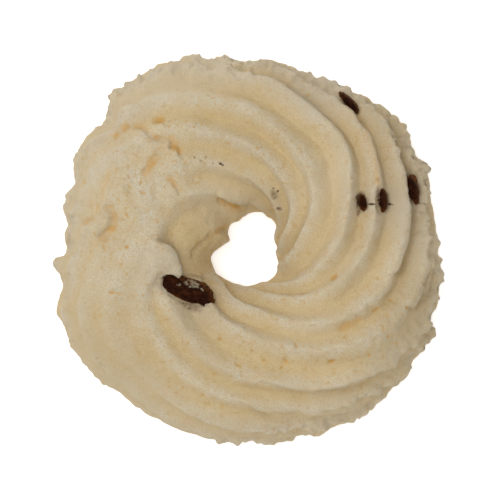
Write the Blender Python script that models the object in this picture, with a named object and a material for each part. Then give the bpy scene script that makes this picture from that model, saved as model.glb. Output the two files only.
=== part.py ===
"""Butter cookie: a ring of pale dough piped through a star nozzle, baked flat on a tray, with pieces
of dark chocolate in its furrows.  Metres, +Z up.  The origin is on the underside, at the middle of the
ring's box; +Y is the top of the ring as seen from above, and bearings run counter-clockwise from +X.
"""
import math

import bmesh
import bpy
import numpy as np

MM = 0.001

# Driving dimensions -------------------------------------------------------------------------------

# Middle of the hole, about which bearings are taken, from the middle of the ring's box.
HOLE_MIDDLE = (-0.38 * MM, -0.08 * MM)

# The strand's section at bearings round the ring:
# bearing (degrees), hole edge, outer edge, crown height, depth of the furrows (mm).
SECTIONS = (
    (0, 4.2, 30.4, 12.6, 2.2),
    (20, 4.1, 30.6, 12.6, 2.3),
    (45, 5.6, 31.3, 12.6, 2.2),
    (65, 5.8, 29.6, 12.7, 1.9),
    (85, 5.4, 29.9, 12.8, 1.6),
    (105, 4.5, 31.3, 13.0, 1.3),
    (122, 4.5, 32.3, 13.4, 1.1),
    (137, 3.8, 31.3, 13.6, 0.9),
    (150, 2.9, 30.8, 13.6, 0.7),
    (170, 3.7, 28.8, 13.4, 0.5),
    (190, 5.4, 30.0, 12.8, 0.6),
    (210, 5.6, 31.4, 12.2, 0.9),
    (230, 5.2, 30.2, 12.0, 1.1),
    (255, 5.2, 30.4, 12.2, 1.3),
    (280, 5.1, 30.6, 12.4, 1.3),
    (305, 5.3, 31.7, 12.5, 1.4),
    (325, 5.4, 32.1, 12.5, 1.5),
    (345, 4.4, 31.3, 12.5, 1.9),
)
CROWN_FULLNESS = 2.5      # power of the section's curve: 2 is an ellipse, more is squarer
STEEPEST = 0.05           # share of the height below which the side counts as upright
FURROW_START = 0.4        # share of the height at which the furrows have their full depth
INNER_LOSS = (            # bearing, share of the furrows' depth lost towards the hole
    (0, 0.45), (30, 0.55), (90, 0.50), (130, 0.30), (180, 0.0), (230, 0.0), (262, 0.10), (300, 0.35),
    (330, 0.45), (360, 0.45),
)
INNER_LOSS_REACH = (-0.1, 0.7)   # shares of the half width, towards the hole, over which it comes in
LOWEST_SKIN = 0.05        # mm, least height of the skin above the tray
TUCK = 0.7                # mm that the side draws in where it meets the tray
TUCK_HEIGHT = 2.5         # mm over which it does so
TUCK_FOCUS = 8            # power that keeps the tuck to the strand's two sides

# Bumps and notches of the outer side: bearing, half width (degrees), how far out (mm).
SIDE_BUMPS = (
    (6, 3.0, -0.4), (14, 3.5, -0.3), (22, 4.0, 0.4), (35, 4.0, -0.6), (49, 2.5, -0.3), (81, 5.0, 0.5),
    (91, 3.0, -0.5), (97, 2.5, 0.4), (110, 5.0, 0.4), (120, 3.0, -0.3), (131, 2.5, 0.8), (138, 3.0, -1.1),
    (153, 2.5, 0.5), (159, 3.0, -0.7), (171, 2.5, -0.3), (178, 3.0, -0.8), (184, 2.5, 0.4),
    (191, 2.5, -0.8), (198, 3.0, 0.9), (228, 3.0, -0.2), (272, 2.5, -0.4), (287, 2.5, -0.6),
    (292, 3.0, 0.5), (297, 2.5, -0.4), (316, 3.0, -0.6), (322, 3.0, 0.5), (327, 2.5, -0.8),
    (340, 2.5, -0.6),
)
SIDE_BUMP_START = 0.45    # share of the half width from which the bumps show

# The star nozzle's teeth, and how the strand turns as it is laid.  A ridge keeps its place on the
# nozzle; the strand rolls by one degree for each degree of the ring, less the slip below.
TEETH = 14
RIDGE_PLACES = (319, 346, 365, 396, 421, 448, 469, 504, 529, 554, 579, 604, 629, 654)
PITCH = 360.0 / TEETH
LAY_START = 205.0         # bearing at which the lay is taken to begin
SLIP_TEETH = 3            # whole teeth that the lay slips by in one turn of the ring
SLIP = (
    (205, -48.0), (225, -37.0), (245, -26.0), (265, -15.5), (285, -6.5), (305, -2.5), (325, -1.8),
    (345, -2.5), (365, 0.0), (385, 7.0), (405, 11.5), (425, 13.5), (445, 17.0), (465, 24.0),
    (490, 31.0), (505, 29.5), (525, 28.0), (565, -48.0 + SLIP_TEETH * PITCH),
)
LAY_CLOSING = (480.0, 560.0)   # where the ridges ease over to those that the strand began with
LEAN = 0.20               # how much nearer to one of its crests a furrow's bottom lies, in teeth
FLATNESS = 1.25           # power of the furrows' flanks: 1 is straight, 2 a flat trough
ROUND_SHARE = 0.30        # share of the furrows' curve that is a plain wave
WORN = (                  # bearing, radius, width (mm) of spots where the furrows are torn flat, and how flat
    (165, 19.0, 8.0, 0.80), (135, 18.0, 6.0, 0.50), (195, 20.0, 6.0, 0.60), (215, 24.0, 6.0, 0.45),
    (235, 25.0, 6.0, 0.40), (325, 25.5, 4.0, 0.60), (150, 26.0, 4.0, 0.30), (197, 14.0, 4.0, 0.80),
)
MOST_WORN = 0.9

# The lap: the strand's end lies over its start.  Bearing (degrees) and radius (mm) of the lap's edge.
LAP_EDGE = (
    (92, 5.6), (104, 7.0), (122, 9.2), (138, 10.7), (154, 12.2), (168, 13.1), (175, 12.5),
    (181, 11.7), (187, 11.0), (195, 10.8), (205, 10.9), (216, 11.0),
)
LAP_SPAN = (90, 104, 203, 220)   # bearings between which the edge comes in and fades out
LAP_DROP = 0.11           # share of the height lost below the lap's edge
LAP_EDGE_WIDTHS = ((90, 0.9), (112, 1.2), (130, 2.4), (160, 2.6), (176, 1.6), (190, 1.4), (216, 1.8))
LAP_FOOT = 1.0            # mm inside the lap's edge where the strand's start is deepest
LAP_FOOT_DEPTH = 0.35     # mm
START_GROOVE = ((95, 4.8), (124, 5.3), (159, 6.5), (178, 7.7), (192, 8.7), (212, 9.6))
START_GROOVE_WIDTH = 0.9  # mm
START_GROOVE_DEPTH = 0.8  # mm
LAP_LUMPS = (             # bearing, radius (mm), width (mm), rise (mm)
    (158, 25.0, 3.4, 0.6), (172, 21.0, 2.6, -0.9), (166, 17.5, 3.0, 0.5), (140, 20.5, 2.8, -0.8),
    (133, 17.0, 3.0, 0.4), (186, 17.0, 3.2, 0.5), (147, 16.0, 2.2, -0.6), (180, 25.0, 2.4, -0.5),
    (194, 24.0, 3.4, 0.5), (170, 13.6, 1.6, 0.3), (203, 12.5, 2.0, -1.5), (124, 24.0, 1.5, -0.6),
    (123, 18.9, 1.6, -0.7), (171, 22.1, 1.6, -0.6), (169, 24.6, 1.6, 0.4), (136, 14.8, 1.6, -0.5),
    (142, 14.6, 1.6, 0.4), (129, 22.2, 1.5, 0.4), (176, 20.0, 1.5, 0.4), (183, 18.6, 1.5, -0.4),
    (160, 22.0, 1.6, -0.3), (188, 21.4, 1.6, -0.4), (150, 21.0, 1.8, 0.4),
)

# Grid of the solid.
STATIONS = 120            # sections round the ring
ROWS_PER_TOOTH = 6        # a crest, a furrow, and two rows on each flank between them

# Chocolate pieces: place (mm from the hole's middle), length, width, height (mm), turn about +Z
# (degrees), fall towards the far end (degrees), taper, depth of the middle below the crown line (mm).
CHOCOLATE = {
    "chocolate_large": ((-9.10, -5.75), 8.8, 4.0, 3.2, -23.0, 12.0, 0.30, 1.25),
    "chocolate_top_right": ((15.75, 22.65), 3.8, 1.7, 2.0, -47.0, 4.0, 0.10, 2.30),
    "chocolate_right_inner": ((17.60, 7.30), 3.1, 1.8, 2.2, -82.0, 0.0, 0.15, 1.85),
    "chocolate_right_middle": ((20.65, 7.65), 3.9, 2.0, 2.4, -86.0, 0.0, 0.10, 2.10),
    "chocolate_right_outer": ((25.50, 9.20), 4.8, 2.1, 2.6, -74.0, 0.0, 0.12, 2.60),
}
POCKET_GAP = 0.3          # mm between a chocolate piece and the dough round it
CHIP_ROUGHNESS = 0.12     # share of a chocolate piece's size by which its faces are uneven
CHIP_SUBDIVISIONS = 3     # of the ball of 20 faces that a chocolate piece is made from, the first included

DOUGH_COLOUR = (0.60, 0.46, 0.27, 1.0)
CHOCOLATE_COLOUR = (0.035, 0.014, 0.007, 1.0)


# Shape --------------------------------------------------------------------------------------------

def ease(low, high, value):
    """Smooth step from 0 at low to 1 at high."""
    share = np.clip((value - low) / (high - low), 0.0, 1.0)
    return share * share * (3.0 - 2.0 * share)


def through(points, value):
    """Smooth curve through (place, height) points: cubic pieces whose slopes are the points' own."""
    places, heights = (np.array(column, dtype=float) for column in zip(*points))
    slopes = np.gradient(heights, places)
    value = np.clip(value, places[0], places[-1])
    i = np.clip(np.searchsorted(places, value) - 1, 0, len(places) - 2)
    span = places[i + 1] - places[i]
    t = (value - places[i]) / span
    rise = heights[i + 1] - heights[i]
    start = slopes[i] * span
    end = slopes[i + 1] * span
    return heights[i] + t * start + t * t * (3 * rise - 2 * start - end) + t ** 3 * (start + end - 2 * rise)


def around(column, bearing):
    """One column of SECTIONS at any bearing; the table is repeated on both sides to close the ring."""
    rows = [(row[0] + turn, row[column]) for turn in (-360, 0, 360) for row in SECTIONS]
    return through(rows, np.mod(bearing, 360.0))


def ridge_place(tooth):
    """Place of a ridge on the nozzle, in degrees, for any tooth number, whole or not."""
    places = list(RIDGE_PLACES) + [RIDGE_PLACES[0] + 360]
    turns = np.floor(tooth / TEETH)
    return np.interp(tooth - turns * TEETH, np.arange(TEETH + 1), places) + 360.0 * turns


def lay_angle(travel, tooth):
    """Angle round the strand, 0 at the outer edge and 90 on the crown, at which a ridge lies."""
    closing = ease(*LAY_CLOSING, travel)
    end_place = ridge_place(tooth + SLIP_TEETH) - SLIP_TEETH * PITCH
    place = (1.0 - closing) * ridge_place(tooth) + closing * end_place
    return place - travel + through(SLIP, travel)


def furrow_at(tooth, lean):
    """Depth of the furrows from 0 on a crest to 1 at the bottom, which lies the lean outwards of a
    crest.  On both flanks it is part wave and part one less a power of the way to the bottom."""
    out = 1.0 - np.mod(tooth, 1.0)
    flank = np.where(out < lean, out / lean, (1.0 - out) / (1.0 - lean))
    wave = 0.5 - 0.5 * np.cos(np.pi * flank)
    return ROUND_SHARE * wave + (1.0 - ROUND_SHARE) * (1.0 - (1.0 - flank) ** FLATNESS)


def spot(bearing, radius, spot_bearing, spot_radius, width):
    """1 at a spot of the ring, falling off as the exponential of minus the distance squared."""
    turn = np.radians(bearing - spot_bearing)
    apart = radius ** 2 + spot_radius ** 2 - 2.0 * radius * spot_radius * np.cos(turn)
    return np.exp(-apart / width ** 2)


def strand(bearing, angle, furrow):
    """Points of the strand's skin, in metres.

    The section is a flat-bottomed curve: across it the radius goes as the cosine of the angle, and the
    height as a root of one less a power of that cosine.  Furrows, from 0 on a crest to 1 in a furrow,
    are cut along the section's normal, and fade out towards the tray and where the skin is worn.
    Bumps push the outer side out.  Below the lap's edge the height drops to the strand's start.
    """
    inner, outer, crown, depth = (around(column, bearing) for column in (1, 2, 3, 4))
    middle = (outer + inner) / 2.0
    half = (outer - inner) / 2.0
    turn = np.radians(angle)
    across = np.cos(turn)
    on_top = np.sin(turn) > 1e-6
    share = np.sqrt(np.clip(1.0 - np.abs(across) ** CROWN_FULLNESS, 0.0, 1.0))
    share = np.where(on_top, share, 0.0)

    slope = crown / half * CROWN_FULLNESS / 2.0 * np.abs(across) ** (CROWN_FULLNESS - 1.0)
    slope = np.sign(across) * slope / np.maximum(share, STEEPEST)
    plain = middle + half * across
    worn = sum(flat * spot(bearing, plain, place, where, width) for place, where, width, flat in WORN)
    loss = through(INNER_LOSS, bearing) * ease(*INNER_LOSS_REACH, -across)
    inside = (through(LAP_EDGE, bearing) - plain) / through(LAP_EDGE_WIDTHS, bearing)
    below = ease(-0.5, 0.5, inside) * ease(*LAP_SPAN[:2], bearing) * (1.0 - ease(*LAP_SPAN[2:], bearing))
    kept = (1.0 - np.minimum(worn, MOST_WORN)) * (1.0 - loss) * (1.0 - below)
    cut = depth * furrow * kept * ease(0.0, FURROW_START, share)
    radius = middle + half * across - cut * slope / np.hypot(slope, 1.0)
    height = crown * share - cut / np.hypot(slope, 1.0)

    out = sum(
        push * np.exp(-((np.mod(bearing - place + 180.0, 360.0) - 180.0) / width) ** 2)
        for place, width, push in SIDE_BUMPS
    )
    radius = radius + out * ease(SIDE_BUMP_START, 1.0, across)

    foot = np.exp(-((inside * through(LAP_EDGE_WIDTHS, bearing) - LAP_FOOT) / LAP_FOOT) ** 2)
    groove = np.exp(-((radius - through(START_GROOVE, bearing)) / START_GROOVE_WIDTH) ** 2)
    height = height * (1.0 - LAP_DROP * below)
    height = height - below * (LAP_FOOT_DEPTH * foot + START_GROOVE_DEPTH * groove) * share
    for lump_bearing, lump_radius, width, rise in LAP_LUMPS:
        height = height + rise * spot(bearing, radius, lump_bearing, lump_radius, width) * share
    height = np.where(on_top, np.maximum(height, LOWEST_SKIN), 0.0)

    tuck = TUCK * (1.0 - ease(0.0, TUCK_HEIGHT, height))
    radius = radius - np.sign(across) * tuck * np.abs(across) ** TUCK_FOCUS
    x = radius * np.cos(np.radians(bearing)) * MM + HOLE_MIDDLE[0]
    y = radius * np.sin(np.radians(bearing)) * MM + HOLE_MIDDLE[1]
    return np.stack([x, y, height * MM], axis=-1)


def ring_mesh():
    """Closed grid whose rows follow the ridges round the ring, and join up a few teeth further on."""
    rows = TEETH * ROWS_PER_TOOTH
    travel = LAY_START + 360.0 * np.arange(STATIONS)[:, None] / STATIONS
    row = np.arange(rows)[None, :]
    angle = np.mod(lay_angle(travel, row / ROWS_PER_TOOTH), 360.0)
    half_row = 180.0 / rows
    angle = np.where(np.abs(angle - 180.0) < half_row, 180.0, angle)
    angle = np.where((angle < half_row) | (angle > 360.0 - half_row), 0.0, angle)
    furrow = furrow_at(row / ROWS_PER_TOOTH, 0.5 - LEAN * np.cos(np.radians(angle)))
    points = strand(np.mod(travel, 360.0) + np.zeros_like(angle), angle, furrow)

    i, j = np.meshgrid(np.arange(STATIONS), np.arange(rows), indexing="ij")
    last = i == STATIONS - 1
    next_i = np.where(last, 0, i + 1)
    shift = np.where(last, SLIP_TEETH * ROWS_PER_TOOTH, 0)
    corners = (
        i * rows + j,
        next_i * rows + (j + shift) % rows,
        next_i * rows + (j + 1 + shift) % rows,
        i * rows + (j + 1) % rows,
    )
    faces = np.stack(corners, axis=-1).reshape(-1, 4)
    return points.reshape(-1, 3), faces


def crown_line(place):
    """Height of the strand's uncut skin above a place given in mm from the hole's middle."""
    bearing = math.degrees(math.atan2(place[1], place[0])) % 360.0
    radius = math.hypot(*place)
    inner = float(around(1, np.array(bearing)))
    outer = float(around(2, np.array(bearing)))
    crown = float(around(3, np.array(bearing)))
    across = abs(2.0 * radius - outer - inner) / (outer - inner)
    return crown * math.sqrt(max(0.0, 1.0 - across ** CROWN_FULLNESS))


# Objects ------------------------------------------------------------------------------------------

def material(name, colour, roughness):
    made = bpy.data.materials.new(name)
    made.use_nodes = True
    shader = made.node_tree.nodes["Principled BSDF"]
    shader.inputs["Base Color"].default_value = colour
    shader.inputs["Roughness"].default_value = roughness
    shader.inputs["Metallic"].default_value = 0.0
    return made


def add_object(name, mesh):
    made = bpy.data.objects.new(name, mesh)
    bpy.context.scene.collection.objects.link(made)
    return made


def dough_ring(finish):
    points, faces = ring_mesh()
    mesh = bpy.data.meshes.new("dough_ring")
    mesh.from_pydata(points.tolist(), [], faces.tolist())
    shape = bmesh.new()
    shape.from_mesh(mesh)
    bmesh.ops.recalc_face_normals(shape, faces=shape.faces)
    bmesh.ops.triangulate(shape, faces=shape.faces)
    shape.to_mesh(mesh)
    shape.free()
    mesh.materials.append(finish)
    mesh.shade_smooth()
    return add_object("dough_ring", mesh)


def chocolate_mesh(name, size, taper, grow, seed):
    """A lumpy pear-shaped piece, its length along X, swollen all over by grow."""
    shape = bmesh.new()
    bmesh.ops.create_icosphere(shape, subdivisions=CHIP_SUBDIVISIONS, radius=1.0)
    rng = np.random.default_rng(seed)
    half = [(extent / 2.0 + grow) * MM for extent in size]
    for vertex in shape.verts:
        x, y, z = vertex.co
        uneven = 1.0 + CHIP_ROUGHNESS * rng.uniform(-1.0, 1.0)
        girth = (1.0 + taper * x) * uneven
        vertex.co = (x * half[0] * uneven, y * half[1] * girth, z * half[2] * girth)
    mesh = bpy.data.meshes.new(name)
    shape.to_mesh(mesh)
    shape.free()
    return mesh


def chocolate_piece(name, seed, finish, dough):
    """A piece of chocolate, and its pocket in the dough."""
    place, length, width, height, turn, fall, taper, depth = CHOCOLATE[name]
    size = (length, width, height)
    piece = add_object(name, chocolate_mesh(name, size, taper, 0.0, seed))
    piece.data.materials.append(finish)
    pocket_name = name + "_pocket"
    cutter = add_object(pocket_name, chocolate_mesh(pocket_name, size, taper, POCKET_GAP, seed))
    cutter.hide_render = True
    cutter.display_type = "WIRE"
    for made in (piece, cutter):
        made.location = (
            place[0] * MM + HOLE_MIDDLE[0],
            place[1] * MM + HOLE_MIDDLE[1],
            (crown_line(place) - depth) * MM,
        )
        made.rotation_euler = (0.0, math.radians(fall), math.radians(turn))
    pocket = dough.modifiers.new(pocket_name, "BOOLEAN")
    pocket.operation = "DIFFERENCE"
    pocket.solver = "EXACT"
    pocket.object = cutter


def build():
    for old in list(bpy.data.objects):
        bpy.data.objects.remove(old, do_unlink=True)
    dough = dough_ring(material("baked_dough", DOUGH_COLOUR, 0.85))
    dark = material("dark_chocolate", CHOCOLATE_COLOUR, 0.55)
    for seed, name in enumerate(CHOCOLATE):
        chocolate_piece(name, seed, dark, dough)


build()
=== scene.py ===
import itertools
import math

import bpy
import numpy as np
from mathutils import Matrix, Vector


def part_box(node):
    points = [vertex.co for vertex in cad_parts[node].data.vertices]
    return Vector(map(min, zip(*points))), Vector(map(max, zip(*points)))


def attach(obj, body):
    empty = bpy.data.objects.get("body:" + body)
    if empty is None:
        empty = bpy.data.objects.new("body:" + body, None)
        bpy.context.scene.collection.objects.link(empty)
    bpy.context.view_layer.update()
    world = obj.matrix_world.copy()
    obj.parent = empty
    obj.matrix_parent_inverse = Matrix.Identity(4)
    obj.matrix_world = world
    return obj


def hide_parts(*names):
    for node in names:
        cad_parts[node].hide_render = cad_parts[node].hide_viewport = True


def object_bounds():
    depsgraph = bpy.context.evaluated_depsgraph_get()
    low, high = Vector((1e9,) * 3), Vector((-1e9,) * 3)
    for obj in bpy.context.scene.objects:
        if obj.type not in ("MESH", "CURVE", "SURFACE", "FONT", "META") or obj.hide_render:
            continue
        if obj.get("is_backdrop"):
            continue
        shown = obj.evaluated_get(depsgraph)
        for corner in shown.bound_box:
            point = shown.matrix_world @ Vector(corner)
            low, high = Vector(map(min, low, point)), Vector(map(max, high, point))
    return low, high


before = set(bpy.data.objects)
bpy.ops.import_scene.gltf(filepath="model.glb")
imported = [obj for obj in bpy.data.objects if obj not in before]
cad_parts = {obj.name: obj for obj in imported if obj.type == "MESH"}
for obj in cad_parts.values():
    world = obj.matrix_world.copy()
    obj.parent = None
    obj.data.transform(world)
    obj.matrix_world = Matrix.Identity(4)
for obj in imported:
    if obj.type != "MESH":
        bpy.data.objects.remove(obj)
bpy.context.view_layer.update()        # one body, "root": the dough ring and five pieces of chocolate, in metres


# The dough ring -----------------------------------------------------------------------------------
# A strand of soft butter dough, squeezed through a 14-toothed star nozzle, laid round until its end
# laps over its start, and baked on a flat tray until dry and cream coloured.  Its crests are torn and
# crumbly, and its end is rough where it was pulled off.

MM = 0.001
HOLE_MIDDLE = (-0.38, -0.08)     # mm, from the origin; bearings and radii are taken about it

STATIONS = 600                   # sections round the ring
ROWS_ON_TOP, ROWS_UNDERNEATH = 146, 18
MEAN_HALF_WIDTH, MEAN_CROWN = 13.0, 12.6    # mm, of the section that spaces the rows

SECTIONS = (                     # bearing (degrees), hole edge, outer edge, crown, depth of furrows (mm)
    (0, 4.2, 30.3, 12.6, 2.2), (20, 4.1, 30.6, 12.6, 2.3), (45, 5.6, 31.3, 12.6, 2.2),
    (65, 5.8, 29.5, 12.7, 1.9), (85, 5.4, 30.0, 12.8, 1.6), (105, 4.5, 31.3, 13.0, 1.3),
    (122, 4.5, 32.4, 13.4, 1.1), (137, 3.8, 31.3, 13.6, 0.9), (150, 2.9, 30.6, 13.6, 0.7),
    (170, 3.7, 28.8, 13.4, 0.5), (190, 5.4, 30.0, 12.8, 0.6), (210, 5.6, 31.4, 12.2, 0.9),
    (230, 5.2, 30.2, 12.0, 1.1), (255, 5.2, 30.4, 12.2, 1.3), (280, 5.1, 30.5, 12.4, 1.3),
    (305, 5.3, 31.6, 12.5, 1.4), (325, 5.4, 31.9, 12.5, 1.5), (345, 4.4, 31.2, 12.5, 1.9),
)
CROWN_FULLNESS = 2.5             # power of the section's curve: 2 is half an ellipse, more is squarer
STEEPEST = 0.05                  # least share of the height that the slope is worked out for
FURROW_START = 0.4               # share of the height from which the furrows have their full depth
LOWEST_SKIN = 0.05               # mm, least height of the skin above the tray
TUCK, TUCK_HEIGHT, TUCK_FOCUS = 0.7, 2.5, 8     # how far in the foot is, and up to where (mm); power
SIDE_BUMPS = (                   # bearing, half width (degrees), how far out (mm)
    (22, 4.0, 0.4), (35, 4.0, -0.6), (81, 5.0, 0.6), (98, 5.0, -0.6), (110, 5.0, 0.5), (131, 2.5, 0.7),
    (138, 3.0, -1.1), (158, 3.5, -0.6), (180, 3.0, -0.8), (191, 2.5, -0.7), (198, 3.0, 0.9),
    (292, 4.0, 0.5), (322, 4.0, 0.4),
)
SIDE_BUMP_START = 0.45           # share of the way out at which the bumps set in
SCALLOPS = (                     # torn lobes and notches of the outermost crests: as SIDE_BUMPS
    (6, 3.0, -0.55), (14, 4.0, -0.45), (29, 2.0, -0.50), (38, 2.0, 0.50), (49, 2.0, -0.45),
    (56, 2.0, -0.30), (68, 2.0, -0.30), (74, 2.0, -0.25), (80, 1.8, -0.40), (91, 2.4, -0.60),
    (96.5, 2.2, 0.85), (101, 1.6, -0.35), (105.5, 1.8, 0.55), (110.5, 2.0, -0.50), (120, 3.0, -0.45),
    (130.5, 1.6, 0.30), (136, 2.0, -0.20), (142, 1.6, -0.25), (153.5, 2.4, 0.55), (158.5, 1.2, -0.25),
    (166.5, 1.8, 0.45), (171.5, 1.8, -0.50), (183.5, 2.2, 0.70), (188.5, 1.4, -0.25), (194, 1.6, -0.30),
    (228, 3.0, -0.20), (242, 2.0, -0.25), (254, 2.0, -0.20), (271.5, 1.8, -0.45), (275.5, 1.4, 0.35),
    (286.5, 2.4, -0.70), (295.5, 2.6, -0.70), (316, 3.4, -0.60), (326, 2.2, -0.95), (331, 1.6, 0.25),
    (336, 1.6, 0.30), (340, 1.8, -0.80), (345, 1.6, 0.20), (353, 2.6, 0.20), (359, 1.8, -0.30),
    (61, 4.0, 0.50), (89, 3.0, -0.40), (350, 4.0, 0.25), (330, 3.0, 0.25), (180, 4.0, -0.20),
    (140, 3.5, -0.20), (300, 3.0, 0.20), (260, 4.0, 0.15), (280, 4.0, 0.18), (28, 4.0, 0.18),
    (240, 4.0, 0.12),
)
LOBE_FADE = 0.6                  # by how much a lobe is smaller in a furrow than on a crest
FRAY = (                         # bearing, how far the crests are frayed at the rim (mm)
    (0, 0.64), (30, 0.88), (60, 0.56), (90, 0.80), (120, 0.68), (150, 0.64), (185, 0.56), (212, 0.40),
    (240, 0.24), (262, 0.40), (285, 0.72), (305, 0.92), (320, 0.68), (340, 0.60), (360, 0.64),
)
FRAY_ELSEWHERE = 0.06            # mm
RIM_SPAN = (0.6, 0.98)           # share of the way out over which the fray grows
FURROW_FRAY = 0.15               # least share of the fray that a furrow's bottom gets

TEETH = 14
PITCH = 360.0 / TEETH
RIDGE_PLACES = (319, 346, 365, 396, 421, 448, 469, 504, 529, 554, 579, 604, 629, 654)    # degrees
LAY_START = 205.0                # bearing at which the strand begins
SLIP_TEETH = 3                   # how many teeth the end of the lay stands off its start
SLIP = (                         # bearing travelled, slip of the lay behind the ring (degrees)
    (205, -48.0), (225, -37.0), (245, -26.0), (265, -15.5), (285, -6.5), (305, -2.5), (325, -1.8),
    (345, -2.5), (365, 0.0), (385, 7.0), (405, 11.5), (425, 13.5), (445, 17.0), (465, 24.0),
    (490, 31.0), (505, 29.5), (525, 28.0), (565, -48.0 + SLIP_TEETH * PITCH),
)
LAY_CLOSING = (480.0, 560.0)     # bearings travelled over which the end takes the start's numbers

LAP_EDGE = (                     # bearing (degrees), radius (mm) of the edge of the strand's end
    (92, 5.6), (104, 7.0), (122, 9.2), (138, 10.7), (154, 12.2), (168, 13.1), (175, 12.5),
    (181, 11.7), (187, 11.0), (195, 10.8), (205, 10.9), (216, 11.0),
)
LAP_SPAN = (90, 104, 203, 220)   # bearings at which the edge sets in and fades out
LAP_DROP = 0.095                 # share of the height that is missing inside the edge
LAP_EDGE_WIDTHS = (              # bearing, width of the edge (mm)
    (90, 0.8), (112, 1.2), (130, 2.6), (160, 3.2), (176, 1.6), (190, 0.9), (216, 1.2),
)
START_GROOVE = (                 # bearing, radius (mm) of the furrow that the strand's start shows
    (95, 4.8), (124, 5.3), (159, 6.5), (178, 7.7), (192, 8.7), (212, 9.6),
)
START_GROOVE_WIDTH, START_GROOVE_DEPTH = 1.0, 0.25      # mm
LAP_FOOT, LAP_FOOT_DEPTH = 1.0, 0.20        # mm inside the edge where the start is deepest, and how deep
LAP_LUMPS = (                    # bearing, radius (mm), width (mm), rise (mm)
    (158, 25.0, 3.4, 0.6), (172, 21.0, 2.6, -0.9), (166, 17.5, 3.0, 0.5), (140, 20.5, 2.8, -0.8),
    (133, 17.0, 3.0, 0.4), (186, 17.0, 3.2, 0.5), (147, 16.0, 2.2, -0.6), (180, 25.0, 2.4, -0.5),
    (194, 24.0, 3.4, 0.5), (170, 13.6, 1.6, 0.3), (203, 12.5, 2.0, -1.3),
)

LEAN = 0.20                      # how much nearer to one of its crests a furrow's bottom lies, in teeth
FLATNESS = 1.25                  # power of the furrows' flanks: 1 is straight, 2 a flat trough
ROUND_SHARE = 0.30               # share of the furrow's curve that is a plain wave
INNER_LOSS = (                   # bearing, share of the furrows' depth lost towards the hole
    (0, 0.45), (30, 0.55), (90, 0.50), (130, 0.30), (180, 0.0), (230, 0.0), (262, 0.10), (300, 0.35),
    (330, 0.45), (360, 0.45),
)
INNER_LOSS_SPAN = (-0.1, 0.7)    # share of the way in over which it is lost
WORN = (                         # bearing, radius, width (mm) of worn furrows, and how much is lost
    (188, 11.5, 3.0, 0.80), (165, 19.0, 8.0, 0.80), (135, 18.0, 6.0, 0.50), (195, 20.0, 6.0, 0.60),
    (215, 24.0, 6.0, 0.28), (235, 25.0, 6.0, 0.25), (325, 25.5, 4.0, 0.60), (150, 26.0, 4.0, 0.30),
)
MOST_WORN = 0.9                  # most that a furrow loses where worn spots meet

ROUGH_SPOTS = (                  # bearing, radius (mm), width (mm), how much rougher
    (165, 21.0, 8.0, 1.0), (140, 21.0, 5.0, 0.7), (190, 22.0, 6.0, 0.6), (328, 23.0, 5.0, 1.2),
    (312, 29.0, 5.0, 0.8), (340, 30.0, 4.0, 0.8), (100, 30.0, 6.0, 0.6),
)

# Random fields: how high, how large (mm), seed.
WANDER = ((0.06, 5.5, 13), (0.020, 1.7, 14), (0.025, 0.8, 16))      # of the crests, in teeth
UNEVEN_FURROWS = ((0.15, 5.0, 15),)                                 # share of the depth
CRUMB = ((0.06, 2.6, 21), (0.04, 1.3, 22), (0.035, 0.65, 23))       # mm
ROUGH_CRUMB = ((0.20, 3.4, 25),)                                    # mm, more where the skin is rough
ROUGH_GRAINS = ((0.25, 1.5, 24), (0.12, 0.9, 29))                   # mm, rounded grains
RAGS = ((0.7, 0.55, 26), (1.0, 0.95, 27), (0.7, 2.0, 28))           # share of the fray
WOBBLE = ((0.35, 0.9, 31), (0.25, 0.5, 32))                         # share of a hollow's size
TORN = ((1.0, 1.1, 35), (0.6, 0.5, 36))                             # share of a ledge's raggedness
UNEVEN_TOAST = ((0.5, 0.8, 37),)                                    # share of a ledge's toast and painted shade
ROUGH_GAIN = 1.5                 # how much higher the crumb is where the skin is rough
GRAIN_LEVEL = 0.4                # part of the rounded grains' height that lies below the skin
UPRIGHT = (1.0, 1.0, 0.5)        # rags are twice as high as they are wide
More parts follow.
